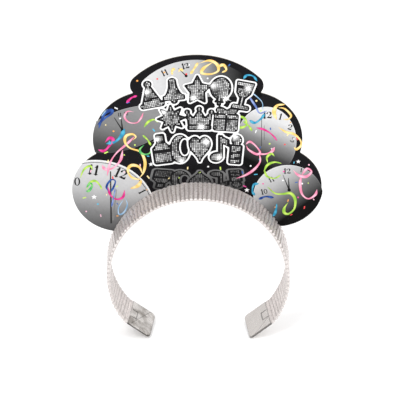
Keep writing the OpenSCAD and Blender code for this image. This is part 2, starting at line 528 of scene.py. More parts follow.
def spring_strip(side):
    """Half of the strip inside the sleeve, with rounded edges."""
    rows = np.concatenate([np.linspace(0, len3, 120), len3 + STRIP_TAIL * np.array([0.5, 1])])
    half_w, half_t, r = strip_w / 2, (STRIP_H1 - STRIP_H0) / 2, 0.15
    corner = np.radians([0, 45, 90])
    loop = []
    for sy, sh in ((1, 1), (-1, 1), (-1, -1), (1, -1)):
        turn = corner if sy * sh > 0 else corner[::-1]
        loop += [
            (sy * (half_w - r + r * math.cos(a)), sh * (half_t - r + r * math.sin(a)))
            for a in turn
        ]
    loop = np.array(loop)
    s, y = np.meshgrid(rows, loop[:, 0], indexing="ij")
    h = MID_H + np.broadcast_to(loop[:, 1], s.shape)
    x, z = leg_point(side, s, h, y)
    obj = tube(f"spring_strip_{SIDE_NAMES[side]}_half", np.stack([x, y, z], -1), smooth=False)
    tidy_mesh(obj)
    return obj


# ---- Flat shapes, as distance fields in millimetres ----
# A field takes arrays x and z and gives the distance to the shape's edge, negative inside.

TINY = 1e-12                      # keeps a division away from zero


def disc(cx, cz, r):
    """A circle."""
    return lambda x, z: np.hypot(x - cx, z - cz) - r


def oval(cx, cz, a, b, turn=0.0):
    """An ellipse with half sizes a and b, turned by degrees."""
    c, s = math.cos(math.radians(turn)), math.sin(math.radians(turn))

    def field(x, z):
        u = ((x - cx) * c + (z - cz) * s) / a
        v = ((z - cz) * c - (x - cx) * s) / b
        k = np.hypot(u, v)
        return k * (k - 1) / np.maximum(np.hypot(u / a, v / b), 1e-6)

    return field


def rect(cx, cz, half_w, half_h, r=0.0):
    """A rectangle whose corners are rounded by r."""
    def field(x, z):
        dx, dz = np.abs(x - cx) - half_w + r, np.abs(z - cz) - half_h + r
        return np.hypot(np.maximum(dx, 0), np.maximum(dz, 0)) + np.minimum(np.maximum(dx, dz), 0) - r

    return field


def to_segment(x, z, ax, az, bx, bz):
    """The distance to a straight piece, and how far along it the nearest point is."""
    ex, ez = bx - ax, bz - az
    t = np.clip(((x - ax) * ex + (z - az) * ez) / (ex * ex + ez * ez + TINY), 0, 1)
    return np.hypot(x - ax - t * ex, z - az - t * ez), t


def polygon(points):
    """A closed outline of straight pieces."""
    points = np.array(points, float)

    def field(x, z):
        best = np.full(x.shape, np.inf)
        inside = np.zeros(x.shape, bool)
        for (ax, az), (bx, bz) in zip(points, np.roll(points, -1, 0)):
            best = np.minimum(best, to_segment(x, z, ax, az, bx, bz)[0])
            rise = bz - az if abs(bz - az) > TINY else TINY
            spans = (az > z) != (bz > z)
            inside ^= spans & (x < ax + (bx - ax) * (z - az) / rise)
        return np.where(inside, -best, best)

    return field


def two_sided(a, b, *right):
    """A polygon from the points of its right side, which are scaled by a and b."""
    return polygon([(a * x, b * z) for x, z in right] + [(-a * x, b * z) for x, z in right[::-1]])


def line(points, widths):
    """A stroke along straight pieces, whose width changes from point to point."""
    def field(x, z):
        best = np.full(x.shape, np.inf)
        for start, end, wa, wb in zip(points, points[1:], widths, widths[1:]):
            gap, t = to_segment(x, z, *start, *end)
            best = np.minimum(best, gap - (wa + (wb - wa) * t) / 2)
        return best

    return field


def joined(*fields):
    """What lies in any of the fields."""
    return lambda x, z: np.minimum.reduce([f(x, z) for f in fields])


def common(*fields):
    """What lies in all of the fields."""
    return lambda x, z: np.maximum.reduce([f(x, z) for f in fields])


def without(field, *holes):
    """The field with the holes cut out."""
    return lambda x, z: np.maximum.reduce([field(x, z)] + [-h(x, z) for h in holes])


def grown(field, by):
    """The field grown all round, or shrunk where by is negative."""
    return lambda x, z: field(x, z) - by


def placed(field, x0, z0, turn):
    """The field moved to a place and turned there."""
    c, s = math.cos(math.radians(turn)), math.sin(math.radians(turn))
    return lambda x, z: field((x - x0) * c + (z - z0) * s, (z - z0) * c - (x - x0) * s)


def fill(field, bounds, cell):
    """The inside of a field as points and faces, on a grid whose edge cells are cut to fit."""
    x0, z0, x1, z1 = bounds
    xs = np.arange(x0, x1 + cell, cell)
    zs = np.arange(z0, z1 + cell, cell)
    grid_x, grid_z = np.meshgrid(xs, zs, indexing="ij")
    value = field(grid_x, grid_z)
    value = np.where(np.abs(value) < 0.02 * cell, -0.02 * cell, value)
    inside = value < 0
    some = inside[:-1, :-1] | inside[1:, :-1] | inside[:-1, 1:] | inside[1:, 1:]
    points, index, faces = [], {}, []

    def point(key, x, z):
        if key not in index:
            index[key] = len(points)
            points.append((x, z))
        return index[key]

    v = value.tolist()
    for i, j in np.argwhere(some).tolist():
        ring = ((i, j), (i + 1, j), (i + 1, j + 1), (i, j + 1))
        face = []
        for a, b in zip(ring, ring[1:] + ring[:1]):
            fa, fb = v[a[0]][a[1]], v[b[0]][b[1]]
            if fa < 0:
                face.append(point(a, xs[a[0]], zs[a[1]]))
            if (fa < 0) != (fb < 0):
                t = fa / (fa - fb)
                x = xs[a[0]] + (xs[b[0]] - xs[a[0]]) * t
                z = zs[a[1]] + (zs[b[1]] - zs[a[1]]) * t
                face.append(point((min(a, b), max(a, b)), x, z))
        if len(face) > 2:
            faces.append(tuple(face))
    return np.array(points), faces


class Layer:
    """A thin printed layer of the card: flat shapes with a colour at each point."""

    def __init__(self, name, lift):
        self.name, self.lift = name, lift
        self.points, self.faces, self.colours = [], [], []

    def add(self, points, faces, colour, lift=0.0):
        """colour is one colour or a function of x and z; lift is a number, or one per point."""
        start = len(self.points)
        y = np.broadcast_to(film_low[1] - self.lift - lift, len(points))
        self.points += [(p[0], h, p[1]) for p, h in zip(points, y)]
        self.faces += [tuple(start + k for k in f) for f in faces]
        xs, zs = np.array(points).T
        rgb = colour(xs, zs) if callable(colour) else np.broadcast_to(colour, (len(points), 3))
        self.colours += rgb.tolist()

    def shape(self, field, bounds, cell, colour, lift=0.0):
        points, faces = fill(field, bounds, cell)
        if len(faces):
            self.add(points, faces, colour, lift)

    def build(self, material, dissolve=False):
        obj = add_object(self.name, self.points, self.faces, smooth=False)
        set_colours(obj, "print", np.array(self.colours))
        if dissolve:
            bm = bmesh.new()
            bm.from_mesh(obj.data)
            bmesh.ops.dissolve_limit(
                bm, angle_limit=math.radians(0.5), verts=bm.verts, edges=bm.edges
            )
            bm.to_mesh(obj.data)
            bm.free()
        obj.data.materials.append(material)
        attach(obj, "crown")
        return obj


# ---- The card's outline, in card millimetres ----

TOP_R, TOP_A, TOP_CORNER_R = 70, 46, 10
top_centre = np.array([-1, card_top - TOP_R])
corner_out = (TOP_R - TOP_CORNER_R) * heading_dir(TOP_A)
wedge_out = 2 * TOP_R * heading_dir(TOP_A)

card_outline = without(
    joined(
        common(
            disc(*top_centre, TOP_R),
            polygon([top_centre, top_centre + wedge_out * [1, 1], top_centre + [0, 3 * TOP_R],
                     top_centre + wedge_out * [-1, 1]]),
        ),
        disc(*(top_centre + corner_out), TOP_CORNER_R),
        disc(*(top_centre + corner_out * [-1, 1]), TOP_CORNER_R),
        disc(-39.2, card_top - 77.6, 44),
        disc(39.2, card_top - 77.6, 44),
        disc(-61.5, card_top - 124.6, 38.5),
        disc(62.3, card_top - 121.4, 36.4),
        rect(0, 100, 55, 50),
    ),
    disc(0, 0, crest_r),
)
card_bounds = (board_low[0] - 1, board_low[2] - 1, board_high[0] + 1, board_high[2] + 1)


def thick_sheet(name, field, cell, front_y, back_y, bevel_mm):
    """A flat sheet with walls, whose edges are softened by insetting both faces a little."""
    points, faces = fill(field, card_bounds, cell)
    n = len(points)
    used = {(a, b) for f in faces for a, b in zip(f, f[1:] + f[:1])}
    rim = [(a, b) for a, b in used if (b, a) not in used]
    corners = sorted({a for edge in rim for a in edge})
    number = {a: k for k, a in enumerate(corners)}
    edge_points = points[corners]
    x, z = edge_points.T
    step = 0.05
    slope = np.stack([
        field(x + step, z) - field(x - step, z), field(x, z + step) - field(x, z - step)
    ], -1)
    slope /= np.maximum(np.hypot(*slope.T), 1e-6)[:, None]
    points[corners] = edge_points - bevel_mm * slope
    rings = (
        (points, front_y), (points, back_y),
        (edge_points, front_y + bevel_mm), (edge_points, back_y - bevel_mm),
    )
    verts = [(px, y, pz) for ring, y in rings for px, pz in ring]
    front, back = 2 * n, 2 * n + len(corners)
    walls = []
    for a, b in rim:
        ka, kb = number[a], number[b]
        walls += [
            (b, a, front + ka, front + kb), (front + kb, front + ka, back + ka, back + kb),
            (back + kb, back + ka, a + n, b + n),
        ]
    back_faces = [tuple(k + n for k in reversed(f)) for f in faces]
    return add_object(name, verts, list(faces) + back_faces + walls, smooth=False)


# ---- The print: clocks ----

BLACK = (0.008, 0.008, 0.009)
DIAL_INK = 0.02                   # the grey of numerals and hands


def even(tone):
    """One grey, as a colour."""
    return (tone, tone, tone)


def shaded(cx, cz, r, turn, *tones):
    """A grey that runs through the tones across a disc, along a direction."""
    c, s = math.cos(math.radians(turn)), math.sin(math.radians(turn))
    stops = np.linspace(0, 1, len(tones))

    def colour(x, z):
        t = 0.5 + ((x - cx) * c + (z - cz) * s) / (2 * r)
        grey = np.interp(t, stops, np.array(tones) ** 2.2)
        return np.stack([grey, grey, grey * 1.01], -1)

    return colour


class Clock:
    """A printed clock face: an oval with a grey that runs across it."""

    def __init__(self, cx, cz, a, b, turn, margin, tones, light_from):
        """a and b are the half sizes, and margin is what stays clear at the card's edge."""
        self.cx, self.cz, self.a, self.b, self.turn = cx, cz, a, b, turn
        self.face = common(oval(cx, cz, a, b, turn), grown(card_outline, margin))
        r = max(a, b)
        self.colour = shaded(cx, cz, r, light_from, *tones)
        self.bounds = (cx - r - 1, cz - r - 1, cx + r + 1, cz + r + 1)


# centre x, z, half sizes, turn, margin to the card's edge, tones, and where they run towards
top_clock = Clock(-1, 128.7, 57.4, 57.4, 0, 3, (0, 0, 0.3, 0.70, 0.78, 0.83, 0.83), 180)
left_clock = Clock(-57, 122, 38, 18, 22, 0.6, (0.1, 0.28, 0.48, 0.54, 0.5), 75)
right_clock = Clock(54.4, 110.5, 23.8, 32, 0, 2.2, (0, 0, 0.26, 0.5, 0.72, 0.84, 0.86), 65)
low_left_clock = Clock(-82, 45.5, 47.5, 47.5, 0, 0.5, (0.12, 0.2, 0.48, 0.74, 0.82), 80)
low_right_clock = Clock(72, 60, 27.5, 28.5, 0, 1.2, (0, 0.06, 0.42, 0.70, 0.82), 130)
CLOCKS = (top_clock, left_clock, right_clock, low_left_clock, low_right_clock)
top_clock.face = common(top_clock.face, rect(16.5, 202, 60, 50))


def digit(which, h):
    """A dial numeral of height h, as a field centred on its own middle."""
    thick, thin = 0.21 * h, 0.07 * h
    q = h / 2
    if which == "1":
        return joined(
            line([(0, -q), (0, q)], [thick, thick]),
            line([(-0.2 * h, 0.30 * h), (0, 0.46 * h)], [thin, thin]),
            line([(-0.2 * h, -q + thin / 2), (0.2 * h, -q + thin / 2)], [thin, thin]),
        )
    if which == "2":
        return line(
            [(-0.25 * h, 0.24 * h), (-0.2 * h, 0.40 * h), (0, 0.47 * h), (0.2 * h, 0.38 * h),
             (0.24 * h, 0.2 * h), (0.08 * h, -0.1 * h), (-0.26 * h, -0.42 * h),
             (0, -0.40 * h), (0.26 * h, -0.42 * h), (0.3 * h, -0.22 * h)],
            [thick, thin, thin, thick, thick, thin, thin, thick, thick, thin],
        )
    if which == "3":
        return line(
            [(-0.22 * h, 0.32 * h), (-0.05 * h, 0.46 * h), (0.18 * h, 0.34 * h), (0.12 * h, 0.12 * h),
             (-0.05 * h, 0.04 * h), (0.16 * h, -0.06 * h), (0.22 * h, -0.28 * h),
             (0, -0.46 * h), (-0.24 * h, -0.32 * h)],
            [thick, thin, thick, thin, thin, thin, thick, thin, thick],
        )
    return without(oval(0, 0, 0.32 * h, q), oval(0, 0, 0.15 * h, q - thin))


def write_numeral(layer, label, x, z, h, tilt):
    """A dial numeral of height h centred on a spot, tilted by degrees anticlockwise."""
    c, s = math.cos(math.radians(tilt)), math.sin(math.radians(tilt))
    step = 0.58 * h
    for k, which in enumerate(label):
        across = step * (k - (len(label) - 1) / 2)
        gx, gz = x + across * c, z + across * s
        field = common(placed(digit(which, h), gx, gz, tilt), grown(card_outline, 0.3))
        layer.shape(field, (gx - h, gz - h, gx + h, gz + h), h / 22, even(DIAL_INK))


def draw_hand(layer, start, end, w0, w1, tone=DIAL_INK):
    """A hand from its pivot to its tip, whose width runs from w0 to w1."""
    field = common(line([start, end], [w0, w1]), grown(card_outline, 0.6))
    low = np.minimum(start, end) - 2
    high = np.maximum(start, end) + 2
    layer.shape(field, (*low, *high), 0.22, even(tone))


def rim_of(clock, out, width):
    """A printed ring round a clock, a distance out from the edge of its face."""
    edge = oval(clock.cx, clock.cz, clock.a + out, clock.b + out, clock.turn)
    band = without(grown(edge, width / 2), grown(edge, -width / 2))
    return common(band, grown(card_outline, 1.0))


def draw_clocks(ink):
    """The clock faces, and above them their rims, numerals and hands."""
    faces = Layer("clock_faces", 0.03)
    for k, clock in enumerate(CLOCKS):
        faces.shape(clock.face, clock.bounds, 0.8, clock.colour, 0.004 * k)
    faces.build(ink)

    marks = Layer("clock_marks", 0.06)
    for out, w, tone in ((0.0, 1.0, 0.85), (-1.8, 0.5, 0.02)):
        ring = rim_of(low_left_clock, out, w)
        marks.shape(ring, low_left_clock.bounds, 0.4, even(tone))
    for clock in (left_clock, right_clock, low_right_clock):
        def lit(x, z, clock=clock):
            return np.minimum(1.35 * clock.colour(x, z), 0.8)

        rim = rim_of(clock, 0.0, 0.5)
        if clock is right_clock:
            rim = without(rim, low_right_clock.face)
        marks.shape(rim, clock.bounds, 0.4, lit)
    for label, x, z, h, tilt in (
        ("12", -10.4, 180.4, 4.9, 14), ("11", -26.5, 174.2, 4.9, 24),
        ("11", -83.3, 84.2, 8.2, -10), ("12", -61.8, 81.0, 8.2, -22),
        ("0", -96.4, 73.4, 7.6, 0), ("1", -44.5, 64.0, 5.6, -60),
        ("12", 54.8, 135.2, 6.0, 0), ("1", 65.8, 133.6, 5.2, -14),
        ("2", 73.2, 124.0, 5.0, -20), ("3", 75.6, 112.0, 4.8, -30),
        ("12", 70.8, 83.2, 4.6, 0), ("1", 82.4, 84.0, 3.4, -10),
        ("11", 58.6, 75.2, 4.0, 24), ("10", 52.6, 64.0, 4.6, 12),
        ("12", -57.4, 136.4, 2.8, 0), ("11", -62.4, 135.6, 2.8, 6),
    ):
        write_numeral(marks, label, x, z, h, tilt)
    top_hub, left_hub, low_right_hub = (-9.4, 171.2), (-60, 120.6), (72.8, 65.5)
    for hand in (
        (top_hub, (-15.6, 178.4), 1.1, 0.3),
        (left_hub, (-66.6, 132.6), 1.3, 0.5), (left_hub, (-61.2, 131.4), 1.5, 0.6),
        ((50.6, 106.6), (50.6, 131), 0.5, 0.4, 0.05), ((52.8, 112), (52.8, 125.5), 0.35, 0.3, 0.08),
        (low_right_hub, (67.8, 79.5), 1.1, 0.3), (low_right_hub, (72.2, 76.5), 1.4, 0.5),
        ((-69.4, 35), (-69.8, 82.5), 1.3, 1.0, 0.03), ((-68, 38), (-65, 66), 1.5, 0.5, 0.22),
    ):
        draw_hand(marks, *hand)
    for (x, z), r in ((top_hub, 1.2), (left_hub, 1.5), (low_right_hub, 1.4)):
        marks.shape(disc(x, z, r), (x - 2, z - 2, x + 2, z + 2), 0.25, even(0.015))
    marks.build(ink, dissolve=True)


# ---- The print: streamers and confetti ----

COLOURS = {
    "yellow": ((0.95, 0.55, 0.10), (1.0, 0.83, 0.42)),
    "pink": ((0.85, 0.17, 0.33), (0.98, 0.55, 0.68)),
    "magenta": ((0.62, 0.01, 0.19), (0.85, 0.09, 0.36)),
    "lime": ((0.22, 0.50, 0.04), (0.62, 0.83, 0.16)),
    "green": ((0.03, 0.36, 0.12), (0.28, 0.68, 0.20)),
    "cyan": ((0.01, 0.20, 0.38), (0.10, 0.48, 0.68)),
    "navy": ((0.01, 0.03, 0.18), (0.05, 0.13, 0.42)),
    "sky": ((0.16, 0.36, 0.58), (0.52, 0.68, 0.86)),
    "periwinkle": ((0.06, 0.12, 0.40), (0.34, 0.43, 0.74)),
    "white": ((0.88, 0.88, 0.88), (0.95, 0.95, 0.95)),
    "orange": ((0.90, 0.24, 0.03), (0.98, 0.42, 0.10)),
    "red": ((0.65, 0.02, 0.03), (0.85, 0.08, 0.08)),
}

# Each streamer is its colour, its greatest width, and points that a smooth curve runs through
STREAMERS = (
    ("yellow", 2.6, ((-6, 173), (-3, 178), (0, 183.5))),
    ("yellow", 2.6, ((-20.5, 172.5), (-20.5, 176), (-18.5, 178.5))),
    ("yellow", 2.0, ((-15.5, 175), (-13.8, 177.5), (-11.8, 175.5))),
    ("yellow", 2.6, ((1, 183), (9, 185.5), (15, 182), (16, 176), (10, 173), (3, 174), (5, 179),
                     (12, 184))),
    ("yellow", 2.6, ((15, 179), (20, 181.5), (22.5, 177), (19, 174.5))),
    ("cyan", 2.2, ((36, 168.5), (39, 172), (44, 171), (47, 166.5))),
    ("magenta", 2.4, ((-57, 146.5), (-53, 151), (-48.5, 153))),
    ("navy", 3.2, ((-80, 126), (-75, 131.5), (-69, 136.5), (-69, 139.5), (-74, 137), (-77, 130),
                   (-79, 123))),
    ("sky", 1.0, ((-69, 140), (-73, 139.5), (-77, 134))),
    ("pink", 1.6, ((-51, 138), (-56, 138.5), (-58.5, 133.5), (-55, 128.5), (-49, 128), (-45.5, 132),
                   (-43.5, 137.5))),
    ("lime", 2.2, ((-43, 124), (-39.5, 129), (-35, 131), (-32, 128.5))),
    ("cyan", 3.4, ((-58.5, 122.5), (-61, 116), (-66, 110.5), (-73, 108.5))),
    ("magenta", 2.8, ((-79.5, 103), (-75, 102), (-71, 106), (-67.5, 112), (-70.5, 114), (-74, 110))),
    ("magenta", 1.8, ((-73, 103.5), (-70, 108.5), (-68, 109))),
    ("yellow", 2.4, ((-52, 112), (-49.5, 115), (-52.5, 117.5), (-57.5, 115.5), (-58, 109.5),
                     (-54, 104.5), (-46, 101), (-42.3, 92), (-43.5, 82), (-47.5, 76))),
    ("yellow", 2.8, ((-44, 80), (-47, 87), (-53, 88.5), (-56, 84), (-53, 77.5), (-46, 75))),
    ("yellow", 3.2, ((-45, 75), (-48, 69.5), (-54, 67))),
    ("pink", 2.0, ((-50.5, 115.5), (-57, 108), (-65, 100), (-70, 91), (-72.5, 79))),
    ("pink", 2.4, ((-60, 102.5), (-62, 93), (-68, 86), (-74, 85), (-76.5, 89))),
    ("lime", 2.0, ((-44, 116.5), (-40, 112), (-37.5, 107))),
    ("green", 2.0, ((-36.5, 104), (-39, 99.5), (-44, 99), (-46.5, 103), (-43, 107.5))),
    ("lime", 2.0, ((-94, 77), (-91, 84.5), (-86, 88), (-84, 84))),
    ("lime", 2.2, ((-89, 66), (-86.5, 72), (-82, 74), (-78, 69.5), (-77, 66))),
    ("green", 2.4, ((-89.5, 64.5), (-87, 65), (-84.5, 69.5), (-86, 72), (-89, 68))),
    ("navy", 1.8, ((-70, 63), (-67.5, 68), (-66, 74), (-69.5, 75), (-73, 69), (-71.5, 64))),
    ("magenta", 2.2, ((-72, 68), (-70, 61), (-65, 57), (-60, 59), (-58.5, 65.5))),
    ("periwinkle", 1.6, ((-66, 67), (-67.5, 58), (-69, 50))),
    ("sky", 1.6, ((-58, 58), (-56.5, 52), (-59, 45), (-63, 43), (-63.5, 49), (-60, 56))),
    ("periwinkle", 1.8, ((38, 157), (42, 150), (46, 143), (49, 137), (55, 139))),
    ("sky", 1.0, ((40, 158), (46, 153), (51, 147), (51.5, 140))),
    ("cyan", 2.6, ((41, 130.5), (45, 128), (50, 131.5), (53, 136.5))),
    ("lime", 2.4, ((32, 135), (37.5, 131.5), (38.5, 126), (34, 123.5), (30, 127))),
    ("lime", 2.0, ((36, 129.5), (40.5, 125), (43, 120.5))),
    ("yellow", 3.2, ((69, 145), (63, 144), (60.5, 138), (62.5, 131))),
    ("yellow", 1.8, ((64, 142), (69, 141), (74, 135), (72, 131.5), (68, 131))),
    ("yellow", 2.2, ((64, 124), (70, 119.5), (76.5, 117.5), (81.5, 112), (82, 107), (78.5, 103.5),
                     (76.5, 105.5))),
    ("magenta", 2.0, ((46.5, 123.5), (53, 121.5), (59, 117), (63, 111.5))),
    ("pink", 2.2, ((38, 108), (41.5, 110.5), (46.5, 106), (49.5, 100.5), (46.5, 99), (40.5, 103),
                   (38.5, 107))),
    ("pink", 2.4, ((46, 99.6), (53, 99), (58.5, 101), (61, 105.5))),
    ("pink", 2.2, ((49, 99), (49.5, 92), (45, 85), (38, 79.5), (30.5, 76.5))),
    ("lime", 2.2, ((55.5, 91), (55, 96), (58.5, 99.5), (61, 97))),
    ("lime", 2.2, ((52.5, 83), (55.5, 89), (61, 91.5), (66.5, 90.5))),
    ("lime", 1.8, ((53, 84.5), (55, 78.5), (61, 76.5), (66, 79.5))),
    ("cyan", 2.4, ((48.5, 71.5), (44.5, 70.5), (43.5, 64.5), (45.5, 60.5))),
    ("navy", 2.6, ((48.5, 57), (54, 59.5), (60.5, 58.5))),
    ("lime", 2.6, ((55.5, 68.5), (61.5, 62.5), (68, 62), (74, 62.5), (77.5, 57), (77, 48.5),
                   (72.5, 43.5), (69, 44.5), (69, 49), (72, 54))),
    ("cyan", 2.4, ((63, 53), (62, 45.5), (60, 41))),
    ("pink", 2.6, ((76, 84), (80, 79.5), (86, 78), (90.5, 82.5), (87, 85.5), (83, 80))),
    ("pink", 2.2, ((83, 80), (81.5, 72), (83, 62), (88, 57.5), (93.5, 61), (95, 66))),
)


def smooth_path(points, steps=8):
    """A curve through the points, as many close points (Catmull-Rom)."""
    p = np.array(points, float)
    p = np.vstack([2 * p[0] - p[1], p, 2 * p[-1] - p[-2]])
    t = np.linspace(0, 1, steps, endpoint=False)[:, None]
    out = []
    for a, b, c, d in zip(p, p[1:], p[2:], p[3:]):
        out.append(
            0.5 * (2 * b + (c - a) * t + (2 * a - 5 * b + 4 * c - d) * t**2
                   + (3 * b - a - 3 * c + d) * t**3)
        )
    return np.vstack(out + [p[-2][None]])


def draw_streamers(ink):
    """Curled paper streamers. Each pass lies a hair above the one before it."""
    layer = Layer("streamers", 0.10)
    for number, (colour, width, points) in enumerate(STREAMERS):
        dark, light = (np.array(c) for c in COLOURS[colour])
        path = smooth_path(points)
        along = np.linspace(0, 1, len(path))
        heading = np.gradient(path, axis=0)
        heading /= np.hypot(*heading.T)[:, None]
        side = np.stack([-heading[:, 1], heading[:, 0]], -1)
        # A flat ribbon that twists looks widest where it faces the viewer
        facing = 0.78 + 0.22 * np.cos(along * math.pi * (1 + len(points) * 0.35) + number)
        taper = np.clip(np.minimum(along, 1 - along) * 7, 0.1, 1) ** 0.7
        half = 0.5 * width * facing * taper
        shares = np.array([-1.0, -0.35, 0.35, 1.0])
        grid = path[:, None] + side[:, None] * half[:, None, None] * shares[None, :, None]
        shine = 0.5 + 0.5 * np.cos(along * math.pi * (3 + len(points) * 0.7) + 2 * number)
        tone = (0.25 + 0.75 * shine)[:, None] * np.array([0.55, 1.0, 0.9, 0.35])[None]
        rgb = dark + (light - dark) * tone[..., None]
        n, m = grid.shape[:2]
        faces = [
            (i * m + j, (i + 1) * m + j, (i + 1) * m + j + 1, i * m + j + 1)
            for i in range(n - 1) for j in range(m - 1)
        ]
        flat = grid.reshape(-1, 2)
        lift = 0.0015 * number + np.repeat(along * 0.03, m)
        layer.add(flat, faces, lambda x, z, rgb=rgb: rgb.reshape(-1, 3), lift)
    return layer.build(ink)


def star_points(a, b, count, inner, turn=0.0):
    """A star with count tips, whose inner corners are a share of the way out."""
    angles = np.radians(turn + np.arange(2 * count) * 180 / count)
    r = np.where(np.arange(2 * count) % 2, inner, 1.0)
    return np.stack([a * r * np.sin(angles), b * r * np.cos(angles)], -1)


def draw_confetti(ink, keep_off):
    """Stars, dots and dashes scattered over the card, clear of its centre motif."""
    rng = np.random.default_rng(31)
    layer = Layer("confetti", 0.08)
    for x, z, r in ((-83, 59, 2.4), (-37.5, 89.5, 2.0), (39, 65.5, 2.2), (80, 92, 1.9),
                    (76.5, 113, 1.2), (59, 103.8, 1.2), (83, 71.5, 1.3), (-62, 132, 1.1)):
        layer.add(star_points(r, r, 5, 0.45) + [x, z], [tuple(range(10))], even(0.92))
    names = ["white", "orange", "red", "pink", "cyan", "navy", "yellow", "magenta", "lime"]
    spots = []
    while len(spots) < 74:
        x, z = rng.uniform(card_bounds[0], card_bounds[2]), rng.uniform(30, card_top)
        at = np.array([[x]]), np.array([[z]])
        apart = all(math.hypot(x - u, z - v) > 8 for u, v in spots)
        if card_outline(*at)[0, 0] > -3 or keep_off(*at)[0, 0] < 2.2 or not apart:
            continue
        spots.append((x, z))
        light = np.array(COLOURS[names[rng.integers(len(names))]][1])
        turn, size = rng.uniform(0, math.tau), rng.uniform(0.7, 1.15)
        if rng.random() < 0.45:
            angles = np.linspace(0, math.tau, 12, endpoint=False)
            shape = 0.75 * size * np.stack([np.cos(angles), np.sin(angles)], -1)
        else:
            a, b = 0.5 * size, rng.uniform(0.9, 1.9) * size
            shape = np.array([(-a, -b), (a, -b * 0.8), (a, b), (-a, b * 0.8)])
        c, s = math.cos(turn), math.sin(turn)
        shape = shape @ np.array([[c, s], [-s, c]]) + [x, z]
        layer.add(shape, [tuple(range(len(shape)))], light)
    return layer.build(ink)


# ---- The print: the centre motif of jewelled icons ----
# Each icon is a field centred on its own middle, with half sizes a and b.


def icon_star(a, b):
    return polygon(star_points(a * 1.08, b * 1.05, 5, 0.55))


def icon_bell(a, b):
    t = np.linspace(0, 1, 12)
    return joined(
        two_sided(a, b, *zip(0.30 + 0.62 * t**2.4, 0.78 - 1.28 * t)),
        disc(0, b * 0.72, a * 0.30), rect(0, -b * 0.52, a * 0.98, b * 0.13, a * 0.08),
        disc(0, -b * 0.76, a * 0.24),
    )


def icon_hat(a, b):
    cone = two_sided(a, b, (0.82, -0.78), (0.06, 0.72))
    stripes = [line([(-a, b * (k - 0.25)), (a, b * k)], [a * 0.09] * 2) for k in (-0.28, 0.18)]
    brim = rect(0, -b * 0.82, a * 0.95, b * 0.13, b * 0.1)
    return joined(without(cone, *stripes), disc(0, b * 0.76, a * 0.26), brim)


def icon_glass(a, b):
    bowl = two_sided(a, b, (0.62, 0.98), (0.5, 0.2), (0.22, -0.12))
    return joined(
        without(bowl, line([(-a, b * 0.62), (a, b * 0.62)], [a * 0.09] * 2)),
        rect(0, -b * 0.4, a * 0.15, b * 0.4), rect(0, -b * 0.86, a * 0.62, b * 0.13, b * 0.1),
    )


def icon_balloon(a, b):
    return joined(
        oval(0, b * 0.2, a * 0.8, b * 0.78),
        two_sided(a, b, (0, -0.45), (0.3, -0.82)),
        rect(0, -b * 0.92, a * 0.09, b * 0.1),
    )


def icon_gift(a, b):
    box = without(
        rect(0, -b * 0.28, a * 0.86, b * 0.68, a * 0.1),
        rect(0, -b * 0.3, a * 0.07, b * 0.7), line([(-a, b * 0.02), (a, b * 0.02)], [a * 0.12] * 2),
    )
    bow = [oval(k * a * 0.38, b * 0.66, a * 0.40, b * 0.24, 25 * k) for k in (-1, 1)]
    return joined(box, *bow, disc(0, b * 0.55, a * 0.2))


def icon_burst(a, b):
    return joined(polygon(star_points(a * 1.1, b * 1.1, 8, 0.52)), disc(0, 0, a * 0.5))


def icon_crown(a, b):
    body = two_sided(a, b, (0.9, -0.5), (1.02, 0.6), (0.48, 0.05), (0, 0.85))
    tips = [disc(x * a, z * b, a * 0.15) for x, z in ((-1.02, 0.64), (0, 0.9), (1.02, 0.64))]
    return joined(body, *tips, rect(0, -b * 0.76, a * 0.92, b * 0.16, b * 0.08))


def icon_moon(a, b):
    return without(oval(0, 0, a, b * 0.98), oval(a * 0.55, b * 0.12, a * 0.78, b * 0.76))


def icon_heart(a, b):
    t = np.linspace(0, math.tau, 48, endpoint=False)
    x = np.sin(t) ** 3
    z = (13 * np.cos(t) - 5 * np.cos(2 * t) - 2 * np.cos(3 * t) - np.cos(4 * t)) / 15
    return polygon(np.stack([a * x, b * (z + 0.08)], -1))


def icon_note(a, b):
    return joined(
        oval(-a * 0.3, -b * 0.62, a * 0.56, b * 0.3, 18), rect(a * 0.12, b * 0.14, a * 0.14, b * 0.78),
        polygon([(0, b * 0.95), (a * 0.9, b * 0.62), (a * 0.9, b * 0.22), (a * 0.1, b * 0.5)]),
    )


def icon_bottle(a, b):
    body = joined(
        rect(0, -b * 0.42, a * 0.6, b * 0.55, a * 0.12), rect(0, b * 0.6, a * 0.24, b * 0.38, a * 0.06),
        two_sided(a, b, (0.6, 0.02), (0.24, 0.42)),
    )
    return without(body, line([(-a, b * 0.5), (a, b * 0.5)], [a * 0.12] * 2),
                   rect(0, -b * 0.16, a, a * 0.06))


def icon_candle(a, b):
    flame = oval(0, b * 0.68, a * 0.36, b * 0.32)
    stick = without(
        rect(0, -b * 0.3, a * 0.46, b * 0.62, a * 0.08),
        line([(-a, -b * 0.35), (a, -b * 0.05)], [a * 0.13] * 2),
        line([(-a, -b * 0.75), (a, -b * 0.45)], [a * 0.13] * 2),
    )
    return joined(flame, stick)


